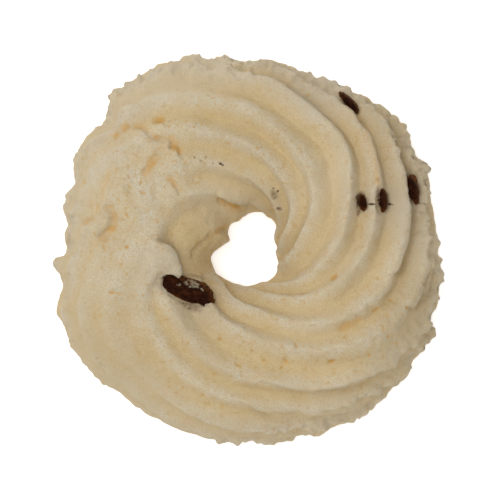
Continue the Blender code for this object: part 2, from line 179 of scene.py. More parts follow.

# Torn hollows and pits, toasted and painted with warm shade: place (mm from the hole's middle), length,
# width (mm), turn (degrees), depth (mm), how much toast and painted shade.
HOLLOWS = (
    ((-13.6, 19.8), 2.0, 1.1, -10, 0.14, 1.00), ((-13.9, 17.0), 2.3, 0.8, -15, 0.20, 0.60),
    ((-10.9, 15.6), 2.4, 1.1, -35, 0.16, 1.00), ((-14.2, 13.5), 3.2, 0.7, 55, 0.08, 0.28),
    ((-11.0, 9.8), 1.8, 0.8, -40, 0.10, 0.60), ((-20.4, 4.9), 2.6, 1.3, 82, 0.10, 0.35),
    ((-21.9, 2.0), 1.8, 1.3, 45, 0.12, 0.40), ((-21.9, 0.5), 1.5, 0.5, -70, 0.20, 0.60),
    ((-23.9, 4.7), 2.1, 0.9, 10, 0.12, 0.45), ((-21.6, 9.9), 6.9, 1.2, 72, 0.10, 0.35),
    ((-19.0, 18.1), 3.4, 0.5, 38, 0.15, 0.60), ((-18.1, 11.2), 0.5, 0.4, 0, 0.30, 1.00),
    ((-16.2, 10.3), 0.8, 0.5, 70, 0.30, 1.00), ((-15.7, 11.5), 0.6, 0.4, -45, 0.20, 1.00),
    ((-15.8, 8.7), 0.9, 0.3, -10, 0.20, 0.90), ((-18.4, 6.4), 0.4, 0.4, 0, 0.30, 1.00),
    ((-17.0, 6.4), 0.4, 0.3, 80, 0.20, 0.90), ((-18.3, 5.2), 1.3, 0.4, -62, 0.15, 0.80),
    ((-17.8, 9.6), 0.7, 0.4, -60, 0.15, 0.70), ((-22.7, 6.6), 0.4, 0.3, 0, 0.20, 0.90),
    ((-24.9, 10.4), 0.8, 0.7, 60, 0.15, 0.60), ((-17.4, 19.3), 0.5, 0.4, 0, 0.25, 1.00),
    ((-18.5, 0.4), 1.1, 0.9, 40, 0.45, 1.00), ((-9.2, 19.7), 0.5, 0.3, 20, 0.15, 0.90),
    ((-8.0, 18.8), 0.5, 0.5, 0, 0.20, 0.90), ((-20.7, -6.6), 0.9, 0.7, 0, 0.25, 0.80),
    ((-18.4, -5.4), 0.5, 0.5, 0, 0.15, 0.80), ((-18.4, -2.8), 0.4, 0.3, 0, 0.15, 0.80),
    ((-22.5, -10.1), 1.4, 0.6, 30, 0.10, 0.45), ((-4.1, -13.6), 0.6, 0.5, 0, 0.25, 1.00),
    ((0.8, -15.5), 0.6, 0.6, 0, 0.25, 1.00), ((2.6, -16.8), 0.9, 0.5, 70, 0.20, 0.80),
    ((-1.2, -17.6), 0.8, 0.5, 0, 0.15, 0.90), ((-0.5, -15.9), 1.2, 0.3, -20, 0.10, 0.80),
    ((5.9, -17.1), 1.4, 1.0, 0, 0.15, 0.75), ((5.3, -17.9), 0.6, 0.4, 70, 0.25, 1.00),
    ((12.9, -17.1), 1.2, 0.8, 20, 0.20, 0.85), ((9.1, -18.1), 1.7, 0.3, -75, 0.12, 0.75),
    ((10.7, -17.8), 0.5, 0.3, 60, 0.10, 0.80), ((18.7, -16.1), 0.6, 0.4, 80, 0.20, 1.00),
    ((7.5, -14.4), 1.4, 0.9, -60, 0.25, 0.60), ((-3.8, -23.9), 0.9, 0.8, 0, 0.10, 0.50),
    ((-0.6, -24.8), 0.6, 0.4, 0, 0.10, 0.70), ((2.9, -27.9), 0.4, 0.4, 0, 0.15, 0.90),
    ((-6.9, -22.2), 0.8, 0.4, 20, 0.15, 0.90), ((-5.2, -18.8), 0.7, 0.4, -60, 0.10, 0.80),
    ((13.2, -4.1), 1.4, 0.8, 40, 0.35, 1.00), ((18.3, -5.5), 0.6, 0.3, 0, 0.15, 1.00),
    ((21.9, -7.7), 0.5, 0.5, 0, 0.20, 0.90), ((19.6, -9.3), 2.1, 0.7, 38, 0.30, 0.90),
    ((21.4, -9.9), 0.8, 0.5, 90, 0.15, 0.80), ((24.6, -8.9), 0.8, 0.6, 0, 0.25, 0.90),
    ((23.0, -14.4), 0.6, 0.5, 0, 0.25, 1.00), ((21.7, -13.2), 0.9, 0.4, 75, 0.15, 0.80),
    ((20.8, -12.1), 0.9, 0.4, 85, 0.12, 0.70), ((21.0, -16.4), 0.7, 0.4, 85, 0.12, 0.80),
    ((15.5, -11.5), 4.6, 1.4, 22, 0.10, 0.60), ((20.1, 10.7), 0.8, 0.6, 80, 0.25, 0.90),
    ((20.2, 12.8), 1.0, 0.3, 0, 0.12, 0.70), ((16.1, 11.0), 0.6, 0.5, 0, 0.12, 0.60),
    ((-5.2, 23.3), 0.6, 0.3, 0, 0.15, 0.90), ((9.5, 23.9), 0.5, 0.4, 80, 0.15, 0.90),
    # This line and the next hardly cut in: they paint warm shade along the crevice under the lap's edge and
    # along the start's furrow.
    ((-2.4, 7.0), 4.8, 1.0, -27, 0.03, 1.10), ((-4.3, 3.1), 4.0, 1.3, 40, 0.03, 0.60),
    ((-7.6, 1.2), 3.4, 1.0, 42, 0.03, 0.50),
)

# Torn ledges and crisp crest edges: rise, depth of the dip at the foot, reach, raggedness (mm), toast and
# painted warm shade of the foot, and a line of places (mm from the hole's middle) whose left side is raised.
LEDGES = (
    (0.40, 0.15, 2.2, 0.30, 0.6, (
        (-9.3, 14.1), (-10.3, 14.5), (-10.7, 15.3), (-11.6, 15.6), (-12.1, 16.5), (-13.3, 16.5),
        (-14.5, 16.8), (-15.2, 17.6), (-15.8, 18.2), (-16.8, 18.5), (-17.9, 17.9))),
    (0.35, 0.15, 1.6, 0.40, 0.75, (
        (-16.2, 11.0), (-15.8, 12.1), (-15.3, 12.9), (-15.0, 13.6), (-14.2, 14.4), (-13.3, 15.0))),
    (0.35, 0.15, 1.8, 0.30, 0.6, (
        (-10.4, 8.3), (-10.7, 9.2), (-11.3, 9.6), (-12.1, 10.4), (-12.6, 10.9))),
    (0.50, 0.18, 2.0, 0.30, 0.70, (
        (-23.0, 1.5), (-22.3, 2.4), (-21.4, 3.2), (-21.0, 3.8), (-20.9, 5.1), (-21.3, 6.3),
        (-21.7, 7.2))),
    (0.30, 0.10, 1.5, 0.40, 0.45, ((-21.6, 6.7), (-22.7, 5.7), (-23.4, 4.4), (-24.5, 4.1), (-25.7, 4.0))),
    (0.25, 0.15, 1.4, 0.40, 0.7, ((-17.6, 19.1), (-18.5, 18.5), (-19.6, 17.6), (-20.7, 16.7))),
    (0.25, 0.12, 1.2, 0.30, 0.8, ((-12.4, 19.1), (-13.6, 19.2), (-14.7, 19.6))),
    (1.00, 0.30, 3.2, 0.04, 0.0, (
        (-10.2, -4.9), (-10.3, -4.2), (-10.3, -3.3), (-10.5, -2.4), (-10.9, -1.3), (-11.5, -0.2),
        (-12.2, 0.7), (-13.0, 1.2), (-13.9, 1.6), (-15.2, 1.7))),
    (0.25, 0.25, 1.8, 0.30, 0.25, (
        (-8.7, -1.6), (-8.7, -0.4), (-8.3, 0.3), (-7.6, 0.8), (-6.7, 1.4), (-5.7, 2.4), (-4.4, 3.2),
        (-2.9, 4.3))),
    (0.40, 0.40, 1.6, 0.20, 0.6, ((-4.7, 8.1), (-3.5, 7.7), (-2.3, 7.2), (-1.1, 6.6), (-0.2, 6.1))),
    (0.55, 0.45, 1.6, 0.20, 0.2, (
        (25.4, -9.3), (26.0, -8.3), (26.9, -7.0), (28.0, -5.8), (28.3, -3.8), (28.9, -1.8), (29.2, 0.8))),
    (0.22, 0.35, 1.0, 0.10, 0.5, (
        (20.2, 4.3), (19.9, 5.8), (19.6, 8.0), (19.6, 9.2), (19.4, 10.7), (19.2, 12.2), (18.9, 13.8),
        (18.6, 15.3), (18.2, 16.8), (17.8, 18.4), (17.1, 19.9), (16.4, 21.1), (15.8, 22.0), (14.7, 23.1),
        (14.2, 24.2))),
    (0.35, 0.60, 1.2, 0.14, 0.2, (
        (21.0, -5.2), (21.9, -4.1), (23.1, -3.1), (23.6, -1.8), (24.2, -0.3), (24.6, 1.1), (25.1, 2.8),
        (25.1, 4.3), (25.1, 5.8), (25.1, 7.7), (24.8, 9.2), (24.5, 10.7), (24.3, 11.9), (24.0, 13.0),
        (23.4, 14.2), (23.0, 15.9), (22.5, 17.1), (22.0, 18.8), (21.6, 20.1), (20.5, 21.3),
        (19.6, 22.0))),
    (0.25, 0.30, 1.0, 0.12, 0.2, (
        (11.2, 21.1), (9.9, 22.3), (8.6, 23.6), (6.9, 24.5), (5.8, 25.4), (4.7, 26.0), (2.8, 26.6),
        (0.8, 27.1), (-0.2, 27.9))),
    (0.25, 0.30, 0.9, 0.15, 0.1, (
        (8.6, -25.6), (11.2, -25.3), (13.5, -25.3), (15.0, -25.6), (16.1, -24.9))),
    (0.25, 0.30, 0.9, 0.15, 0.1, (
        (-2.6, -22.3), (-0.6, -23.4), (1.7, -24.5), (3.8, -25.3), (5.8, -26.0), (7.8, -26.2))),
    (0.20, 0.25, 0.9, 0.15, 0.3, (
        (9.9, -21.3), (11.9, -21.3), (15.0, -21.0), (17.3, -20.4), (18.8, -19.6))),
    (0.20, 0.25, 0.9, 0.15, 0.1, ((-1.4, -18.1), (0.5, -19.1), (2.3, -19.9), (5.1, -20.7), (7.5, -21.4))),
)

# Chocolate smeared into the dough, and a few painted shadows in its colours: as the hollows, with its
# strength in place of a depth.
STAINS_AND_SHADOWS = (
    ((17.5, 7.4), 3.6, 2.3, -82, 0.62), ((17.1, 5.8), 1.7, 0.8, -115, 0.50),
    ((20.9, 7.8), 4.0, 2.4, -84, 0.62), ((19.1, 7.0), 2.0, 0.4, 0, 0.80),
    ((21.9, 7.0), 1.4, 0.4, 0, 0.70), ((25.9, 9.3), 5.2, 2.6, -72, 0.62),
    ((27.4, 7.0), 2.1, 0.4, -8, 0.75), ((26.2, 7.5), 1.4, 0.8, -60, 0.80),
    ((16.2, 22.4), 4.6, 2.1, -50, 0.62), ((-8.5, -8.6), 5.5, 2.4, -25, 0.42),
    ((-8.7, -8.9), 1.7, 1.1, -10, 0.50), ((-9.8, -8.2), 1.3, 0.8, -30, 0.48),
    ((-6.8, -8.4), 1.2, 0.8, 0, 0.50), ((-12.9, -4.6), 2.1, 1.2, -70, 0.40),
    ((-7.8, -4.0), 4.6, 0.9, -15, 0.35), ((4.1, 8.6), 2.6, 1.7, -75, 0.42),
    # The first spot here paints the shadow in a small notch of the hole's wall.
    ((4.9, 6.4), 1.3, 0.8, -20, 0.55), ((4.0, 9.4), 0.6, 0.5, 0, 0.75), ((4.7, 9.0), 0.6, 0.5, 20, 0.75),
    ((-8.0, 14.1), 0.5, 0.4, 0, 0.60), ((-7.2, 13.6), 0.6, 0.4, 0, 0.60),
    ((-6.3, 14.2), 0.5, 0.3, 0, 0.60), ((-5.2, 13.3), 0.6, 0.4, 0, 0.70),
    ((-4.1, 13.2), 0.8, 0.5, -30, 0.95), ((-3.7, 12.9), 0.5, 0.4, 0, 0.90),
    ((-6.9, 13.5), 0.6, 0.4, 0, 0.60), ((-11.8, 19.6), 0.8, 0.5, 0, 0.35),
    ((-10.9, 19.9), 0.6, 0.5, 0, 0.30), ((-7.8, 19.3), 0.6, 0.5, 0, 0.35),
    # The spot at (6.4, 28.2) here and the one below paint the shadow in the gaps between fins at the top rim.
    ((-8.7, 18.8), 0.6, 0.5, 0, 0.30), ((6.4, 28.2), 2.6, 0.6, -12, 0.33),
    ((9.8, 26.6), 2.1, 0.6, -35, 0.33),
)

# Spots of bake and of painted light and shade on the rims: bearing, radius, width (mm), how golden and warm
# lit (above 0) or dusty and cool shaded, and how pale and lit (above 0) or dark and shaded.
BAKE = (
    (212, 28.5, 6.0, 1.0, -0.6), (229, 25.0, 5.0, 0.6, -0.5), (108, 8.5, 5.0, 1.3, 0.5),
    (132, 7.3, 3.0, 0.0, 0.8), (121, 21.4, 4.0, 0.6, 0.2), (355, 15.5, 5.0, 0.4, 0.7),
    (164, 22.5, 3.5, 0.5, 0.3), (205, 22.0, 4.0, 0.2, -0.2), (178, 21.0, 4.0, 0.5, -0.3),
    (324, 27.0, 6.0, 0.4, -0.7), (338, 25.5, 4.0, 0.0, -0.8), (275, 20.8, 4.0, 0.3, 0.0),
    (300, 27.0, 5.0, 0.0, 1.0), (100, 29.5, 4.0, -0.5, 1.3), (117, 28.0, 4.0, -0.3, 0.4),
    (40, 17.0, 5.0, -0.2, 0.9), (312, 16.5, 4.0, 0.0, 0.6), (358, 28.5, 3.0, 0.3, 1.4),
    (170, 28.0, 5.0, -0.5, 0.0), (192, 15.5, 4.0, -0.6, 0.4), (66, 27.5, 5.0, -1.0, 0.0),
    (18, 23.5, 5.0, -1.0, -0.5), (20, 29.0, 2.5, -0.5, -1.0), (52, 29.2, 2.5, 0.0, -0.6),
    (230, 12.4, 3.0, -0.8, -1.0), (133, 29.0, 6.0, -0.6, 0.0), (347, 29.0, 2.5, 0.0, -1.0),
    (41, 28.5, 2.5, 0.0, -0.8), (190, 29.5, 3.0, -0.3, -0.4), (60, 29.5, 3.0, -0.4, -0.4),
    (250, 15.5, 4.5, 0.0, -0.4), (348, 27.3, 2.2, 0.0, -0.6), (83, 29.4, 2.5, -0.6, -0.5),
    (68, 26.0, 2.2, -0.2, -0.5), (163, 7.0, 2.4, 1.2, -0.2),
)

# Sockets that the dough keeps round the chocolate: as the hollows.
SOCKETS = (
    ((-9.2, -6.1), 8.6, 3.6, -24, 0.50), ((-11.9, -4.35), 1.9, 1.9, -20, 1.30),
    ((17.6, 7.3), 2.6, 1.6, -82, 0.25), ((20.6, 7.7), 4.0, 2.0, -86, 0.35),
    ((25.5, 9.2), 5.0, 2.2, -74, 0.35), ((15.8, 22.7), 4.0, 1.6, -48, 0.35),
)

# Where the edges of these begin and end, as shares of their size.
HOLLOW_EDGE, SOCKET_EDGE, STAIN_EDGE = (0.35, 1.25), (0.75, 1.25), (0.3, 1.2)
SOCKET_WOBBLE, STAIN_WOBBLE = 0.4, 0.5      # how much of the hollows' wobble they have
LEDGE_FADE = 0.12                # share of its length over which each end of a ledge fades
LEDGE_STEP = (-0.12, 0.22)       # mm across its line, where it rises
DIP_PLACE, DIP_WIDTH = 0.40, 0.40           # mm, of the dip right of the line
FOOT_PLACE, FOOT_WIDTH = 0.50, 0.75         # mm, of the foot right of the line, toasted and painted with warm shade

# Shares of the full height over which these set in: relief, hollows, stains; and the tray's browning.
RELIEF_START, HOLLOW_START, STAIN_START = (0.0, 0.25), (0.3, 0.6), (0.35, 0.60)
BROWNED_FOOT = (0.0, 0.14)
SIDE_SHADE_SPAN = (0.3, 0.9)           # share of the way out over which the dough turns to the side's darker, greyer colour, painted shade on the outer walls
CREST_SHARPNESS = 2.2            # how fast a crest's paleness, partly painted highlight, fades towards the furrow
LEDGE_PALENESS_AND_LIGHT, START_WARMTH_AND_SHADE = 0.8, 0.9     # how pale a ledge's raised side is, partly painted light; how warm the strand's start under the lap is, partly painted warm shade
LEAST_TOAST, MEAN_TOAST, MOST_TOAST = 0.2, 0.8, 1.2     # shares of a ledge's toast and painted shade along its foot


def ease(low, high, value):
    """Smooth step from 0 at low to 1 at high: the share s of the way, as s * s * (3 - 2 * s)."""
    share = np.clip((value - low) / (high - low), 0.0, 1.0)
    return share * share * (3.0 - 2.0 * share)


def through(points, value):
    """Smooth curve through (place, height) points: cubic pieces whose slopes are the points' own."""
    places, heights = (np.array(column, dtype=float) for column in zip(*points))
    slopes = np.gradient(heights, places)
    value = np.clip(value, places[0], places[-1])
    i = np.clip(np.searchsorted(places, value) - 1, 0, len(places) - 2)
    span = places[i + 1] - places[i]
    t = (value - places[i]) / span
    rise = heights[i + 1] - heights[i]
    start = slopes[i] * span
    end = slopes[i + 1] * span
    return heights[i] + t * start + t * t * (3 * rise - 2 * start - end) + t ** 3 * (start + end - 2 * rise)


def around(column, bearing):
    """One column of SECTIONS at any bearing; the table is repeated on both sides to close the ring."""
    rows = [(row[0] + turn, row[column]) for turn in (-360, 0, 360) for row in SECTIONS]
    return through(rows, np.mod(bearing, 360.0))


def grain(points, size, seed):
    """Smooth random field from -1 to 1: random values on a cubic lattice of the given size, blended
    between the eight corners round a point by smooth steps."""
    span = 48
    lattice = np.random.default_rng(seed).uniform(-1.0, 1.0, (span, span, span))
    place = points / size
    cell = np.floor(place).astype(int)
    t = place - cell
    t = t * t * (3.0 - 2.0 * t)
    total = np.zeros(points.shape[:-1])
    for corner in itertools.product((0, 1), repeat=3):
        weight = np.prod(np.where(np.array(corner) == 1, t, 1.0 - t), axis=-1)
        x, y, z = np.moveaxis((cell + corner) % span, -1, 0)
        total += weight * lattice[x, y, z]
    return total


def layers(points, table):
    """Sum of random fields, each times its height."""
    return sum(height * grain(points, size, seed) for height, size, seed in table)


def crumbs_field(points, size, seed):
    """Rounded grains from 0 to 1: one grain at a random place in each lattice cell, each a dome that
    falls from its middle as one less the distance squared."""
    span, smallest, largest = 40, 0.35, 0.9
    draw = np.random.default_rng(seed)
    shift = draw.uniform(0.0, 1.0, (span, span, span, 3))
    reach = draw.uniform(smallest, largest, (span, span, span))
    place = points / size
    cell = np.floor(place).astype(int)
    best = np.zeros(points.shape[:-1])
    for corner in itertools.product((-1, 0, 1), repeat=3):
        near = cell + corner
        x, y, z = np.moveaxis(near % span, -1, 0)
        away = np.linalg.norm(place - near - shift[x, y, z], axis=-1) / reach[x, y, z]
        best = np.maximum(best, reach[x, y, z] * np.clip(1.0 - away ** 2, 0.0, 1.0))
    return best


def tooth_at(place):
    """Tooth number at a place on the nozzle: a whole number on each crest, straight lines between."""
    places = np.array(RIDGE_PLACES + (RIDGE_PLACES[0] + 360,), dtype=float)
    turns = np.floor((place - places[0]) / 360.0)
    return np.interp(place - 360.0 * turns, places, np.arange(TEETH + 1)) + TEETH * turns


def lay_tooth(bearing, angle):
    """Tooth number at a bearing and an angle round the strand.  A ridge keeps its place on the nozzle
    while the strand rolls by a degree for each degree of the ring, less the slip; near the end of
    the lay the numbers ease over to those that the strand began with."""
    travel = np.where(bearing < LAY_START, bearing + 360.0, bearing)
    place = angle + travel - through(SLIP, travel)
    closing = ease(*LAY_CLOSING, travel)
    end = tooth_at(place + SLIP_TEETH * PITCH) - SLIP_TEETH
    return (1.0 - closing) * tooth_at(place) + closing * end


def furrow_at(tooth, lean):
    """Depth of the furrows from 0 on a crest to 1 at the bottom, which lies the lean outwards of a
    crest.  On both flanks it is part wave and part one less a power of the way to the bottom."""
    out = 1.0 - np.mod(tooth, 1.0)
    flank = np.where(out < lean, out / lean, (1.0 - out) / (1.0 - lean))
    wave = 0.5 - 0.5 * np.cos(np.pi * flank)
    return ROUND_SHARE * wave + (1.0 - ROUND_SHARE) * (1.0 - (1.0 - flank) ** FLATNESS)


def rim_push(bearing, table):
    """Sum of bumps along the rim, each falling off as the exponential of minus its distance squared."""
    return sum(
        push * np.exp(-((np.mod(bearing - place + 180.0, 360.0) - 180.0) / width) ** 2)
        for place, width, push in table
    )


def strand(bearing, angle, furrow):
    """Points of the strand's skin, in mm, the share of its full height, and how far it is lap.

    The section is a flat-bottomed curve: across it the radius goes as the cosine of the angle, and the
    height as a root of one less a power of that cosine.  Furrows, from 0 on a crest to 1 in a furrow,
    are cut along the section's normal, and fade out towards the tray.  Bumps push the outer side out.
    Inside the lap's edge the height drops, and the furrow and the low foot of the strand's start show.
    """
    inner, outer, crown, depth = (around(column, bearing) for column in (1, 2, 3, 4))
    middle = (outer + inner) / 2.0
    half = (outer - inner) / 2.0
    turn = np.radians(angle)
    across = np.cos(turn)
    on_top = np.sin(turn) > 1e-6
    share = np.sqrt(np.clip(1.0 - np.abs(across) ** CROWN_FULLNESS, 0.0, 1.0))
    share = np.where(on_top, share, 0.0)

    slope = crown / half * CROWN_FULLNESS / 2.0 * np.abs(across) ** (CROWN_FULLNESS - 1.0)
    slope = np.sign(across) * slope / np.maximum(share, STEEPEST)
    cut = depth * furrow * ease(0.0, FURROW_START, share)
    cut = cut * (1.0 - through(INNER_LOSS, bearing) * ease(*INNER_LOSS_SPAN, -across))
    radius = middle + half * across - cut * slope / np.hypot(slope, 1.0)
    height = crown * share - cut / np.hypot(slope, 1.0)

    out = rim_push(bearing, SIDE_BUMPS)
    out = out + rim_push(bearing, SCALLOPS) * (1.0 - LOBE_FADE * np.clip(furrow, 0.0, 1.0))
    radius = radius + out * ease(SIDE_BUMP_START, 1.0, across)

    inside = (through(LAP_EDGE, bearing) - radius) / through(LAP_EDGE_WIDTHS, bearing)
    below = ease(-0.5, 0.5, inside)
    below = below * ease(*LAP_SPAN[:2], bearing) * (1.0 - ease(*LAP_SPAN[2:], bearing))
    height = height * (1.0 - LAP_DROP * below)
    groove = np.exp(-((radius - through(START_GROOVE, bearing)) / START_GROOVE_WIDTH) ** 2)
    foot = np.exp(-((inside * through(LAP_EDGE_WIDTHS, bearing) - LAP_FOOT) / LAP_FOOT) ** 2)
    height = height - below * (START_GROOVE_DEPTH * groove + LAP_FOOT_DEPTH * foot) * share
    for lump_bearing, lump_radius, width, rise in LAP_LUMPS:
        along = np.radians(bearing - lump_bearing) * lump_radius
        near = np.exp(-(along ** 2 + (radius - lump_radius) ** 2) / width ** 2)
        height = height + rise * near * share
    height = np.where(on_top, np.maximum(height, LOWEST_SKIN), 0.0)

    tuck = TUCK * (1.0 - ease(0.0, TUCK_HEIGHT, height))
    radius = radius - np.sign(across) * tuck * np.abs(across) ** TUCK_FOCUS
    x = radius * np.cos(np.radians(bearing)) + HOLE_MIDDLE[0]
    y = radius * np.sin(np.radians(bearing)) + HOLE_MIDDLE[1]
    return np.stack([x, y, height], axis=-1), share, below


def even_angles():
    """Angles of the grid's rows: evenly spaced along the top of a mean section, then underneath."""
    fine = np.linspace(0.0, np.pi, 4001)
    radius = MEAN_HALF_WIDTH * np.cos(fine)
    height = MEAN_CROWN * np.sqrt(np.clip(1.0 - np.abs(np.cos(fine)) ** CROWN_FULLNESS, 0.0, 1.0))
    length = np.concatenate([[0.0], np.cumsum(np.hypot(np.diff(radius), np.diff(height)))])
    top = np.interp(np.linspace(0.0, length[-1], ROWS_ON_TOP), length, np.degrees(fine))
    under = np.linspace(180.0, 360.0, ROWS_UNDERNEATH + 2)[1:-1]
    return np.concatenate([top, under])


def outward(points):
    """Unit normals of a grid that closes on itself both ways: the cross product of its two slopes."""
    round_ring = np.roll(points, -1, axis=0) - np.roll(points, 1, axis=0)
    round_strand = np.roll(points, -1, axis=1) - np.roll(points, 1, axis=1)
    normal = np.cross(round_ring, round_strand)
    return normal / np.maximum(np.linalg.norm(normal, axis=-1, keepdims=True), 1e-9)


def plan_distance(points, place, length, width, turn):
    """Distance in plan from an ellipse's middle, as a share of its size, along its own turned axes."""
    away = points[..., :2] - (np.array(place) + HOLE_MIDDLE)
    c, s = math.cos(math.radians(turn)), math.sin(math.radians(turn))
    along = (away[..., 0] * c + away[..., 1] * s) / (length / 2.0)
    across = (away[..., 1] * c - away[..., 0] * s) / (width / 2.0)
    return np.hypot(along, across)


def patches(points, rows, edge, wobble):
    """Ellipses in plan with ragged outlines: at any point the strongest of them counts, and each goes
    from its strength to 0 by a smooth step over its edge."""
    total = np.zeros(points.shape[:-1])
    for place, length, width, turn, strength in rows:
        away = plan_distance(points, place, length, width, turn) + wobble
        total = np.maximum(total, strength * (1.0 - ease(*edge, away)))
    return total


def spots(points, rows):
    """Sum of round spots in plan, each falling off as the exponential of minus its distance squared."""
    total = np.zeros(points.shape[:-1])
    for bearing, radius, width, amount in rows:
        middle = (radius * math.cos(math.radians(bearing)), radius * math.sin(math.radians(bearing)))
        total += amount * np.exp(-plan_distance(points, middle, 2 * width, 2 * width, 0) ** 2)
    return total


def ledge(points, path, reach, wobble):
    """How far the raised side, the dip and the foot of a torn ledge reach round a line of places in plan.
    Left of the line the ledge stands at 1 and falls off as the exponential of minus the distance
    squared; the dip and the wider foot lie along the line's right."""
    place = points[..., :2] - HOLE_MIDDLE
    path = np.array(path)
    nearest = np.full(place.shape[:-1], np.inf)
    signed = np.zeros_like(nearest)
    along = np.zeros_like(nearest)
    for k, (start, end) in enumerate(zip(path[:-1], path[1:])):
        step = end - start
        t = np.clip((place - start) @ step / (step @ step), 0.0, 1.0)
        away = place - start - t[..., None] * step
        distance = np.linalg.norm(away, axis=-1)
        nearer = distance < nearest
        nearest = np.where(nearer, distance, nearest)
        left = np.sign(step[0] * away[..., 1] - step[1] * away[..., 0])
        signed = np.where(nearer, distance * left, signed)
        along = np.where(nearer, (k + t) / (len(path) - 1), along)
    signed = signed + wobble
    fade = ease(0.0, LEDGE_FADE, along) * (1.0 - ease(1.0 - LEDGE_FADE, 1.0, along))
    up = ease(*LEDGE_STEP, signed) * np.exp(-(signed / reach) ** 2)
    dip = np.exp(-((signed + DIP_PLACE) / DIP_WIDTH) ** 2)
    foot = np.exp(-((signed + FOOT_PLACE) / FOOT_WIDTH) ** 2)
    return fade * up, fade * dip, fade * foot


def shown(name, mesh, values):
    """Object at the origin that shows a mesh, shaded smooth, with a value a vertex for each attribute."""
    for key, value in values.items():
        stored = mesh.attributes.new(key, "FLOAT", "POINT")
        stored.data.foreach_set("value", value.astype(np.float32).ravel())
    mesh.shade_smooth()
    made = bpy.data.objects.new(name, mesh)
    bpy.context.scene.collection.objects.link(made)
    return made


def closed_grid(name, points, values):
    """Mesh of a grid of points that closes on itself both ways, shaded smooth, with named attributes."""
    rows, columns = points.shape[:2]
    i, j = np.meshgrid(np.arange(rows), np.arange(columns), indexing="ij")
    i2, j2 = (i + 1) % rows, (j + 1) % columns
    corners = (i * columns + j, i2 * columns + j, i2 * columns + j2, i * columns + j2)
    faces = np.stack(corners, axis=-1).reshape(-1, 4)
    mesh = bpy.data.meshes.new(name)
    mesh.from_pydata((points.reshape(-1, 3) * MM).tolist(), [], faces.tolist())
    return shown(name, mesh, values)


# The skin without furrows says where the fields and the spots lie.
bearing = (360.0 * np.arange(STATIONS) / STATIONS)[:, None]
angle = even_angles()[None, :] + np.zeros_like(bearing)
bearing = bearing + np.zeros_like(angle)
outwards = np.cos(np.radians(angle))
envelope, _, below = strand(bearing, angle, np.zeros_like(angle))
rough = spots(envelope, ROUGH_SPOTS)
worn = np.clip(spots(envelope, WORN), 0.0, MOST_WORN)

# The furrows, and the skin with them.
furrow = furrow_at(lay_tooth(bearing, angle) + layers(envelope, WANDER), 0.5 - LEAN * outwards)
# Crests are painted paler, partly as highlight, and furrows warmer, partly as shade in them.
crest = np.clip(1.0 - CREST_SHARPNESS * furrow, 0.0, 1.0) * (1.0 - below)
furrow = furrow * (1.0 - worn) * (1.0 - below)
furrow = furrow * (1.0 + layers(envelope, UNEVEN_FURROWS))
points, share, below = strand(bearing, angle, furrow)
skin = outward(points)

# The crumb, coarser where the skin is rough, and the rags of the crests.
relief = layers(points, CRUMB)
relief = relief * (1.0 + ROUGH_GAIN * rough) + rough * layers(points, ROUGH_CRUMB)
relief = relief + rough * sum(
    height * (crumbs_field(points, size, seed) - GRAIN_LEVEL) for height, size, seed in ROUGH_GRAINS
)
fray = FRAY_ELSEWHERE + (through(FRAY, bearing) - FRAY_ELSEWHERE) * ease(*RIM_SPAN, outwards)
relief = relief + fray * layers(points * UPRIGHT, RAGS) * np.clip(1.0 - furrow, FURROW_FRAY, 1.0)

# Hollows with their toast and painted warm shade, sockets, stains with a few painted shadows, and the
# bake's spots, partly painted light and shade.
wobble = layers(points, WOBBLE)
hollow = patches(points, [row[:5] for row in HOLLOWS], HOLLOW_EDGE, wobble)
toast_and_shade = patches(points, [row[:4] + row[5:] for row in HOLLOWS], HOLLOW_EDGE, wobble)
socket = patches(points, SOCKETS, SOCKET_EDGE, SOCKET_WOBBLE * wobble)
stain_and_shadow = patches(points, STAINS_AND_SHADOWS, STAIN_EDGE, STAIN_WOBBLE * wobble)
# Bake spots, partly the bake's own tone and partly painted light and shade on the rims.
golden_and_warm_light = np.clip(spots(points, [row[:4] for row in BAKE]), -1.0, 1.0)
pale = np.clip(spots(points, [row[:3] + row[4:] for row in BAKE]), -1.0, 1.0)

# The torn ledges.
torn = layers(points, TORN)
uneven = np.clip(MEAN_TOAST + layers(points, UNEVEN_TOAST), LEAST_TOAST, MOST_TOAST)
lifted = np.zeros_like(relief)
for rise, depth, reach, ragged, toasted, path in LEDGES:
    up, dip, foot = ledge(points, path, reach, ragged * torn)
    lifted = lifted + rise * up - depth * dip
    # The raised side of a ledge is painted paler, partly as light falling on it.
    crest = np.maximum(crest, LEDGE_PALENESS_AND_LIGHT * up)
    toast_and_shade = np.maximum(toast_and_shade, toasted * foot * uneven)

raised = (relief + lifted) * ease(*RELIEF_START, share)
points = points + skin * (raised - (hollow + socket) * ease(*HOLLOW_START, share))[..., None]
points[..., 2] = np.where(share > 0, np.maximum(points[..., 2], LOWEST_SKIN), 0.0)

dough = closed_grid("dough_ring_skin", points, {
    "furrow_warmth_and_shade": np.maximum(furrow, START_WARMTH_AND_SHADE * below), "crest": crest, "toast_and_shade": toast_and_shade,
    "stain_and_shadow": stain_and_shadow * ease(*STAIN_START, share), "side": ease(*SIDE_SHADE_SPAN, outwards),
    "under": 1.0 - ease(*BROWNED_FOOT, share),
    "golden_and_warm_light": np.maximum(golden_and_warm_light, 0.0), "dusty_and_cool_shade": np.maximum(-golden_and_warm_light, 0.0),
    "pale": np.maximum(pale, 0.0), "dark": np.maximum(-pale, 0.0),
})
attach(dough, "root")
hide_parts("dough_ring")


def shader_parts(name):
    """A new material with its node tree and its one shader."""
    made = bpy.data.materials.new(name)
    made.use_nodes = True
    return made, made.node_tree, made.node_tree.nodes["Principled BSDF"]


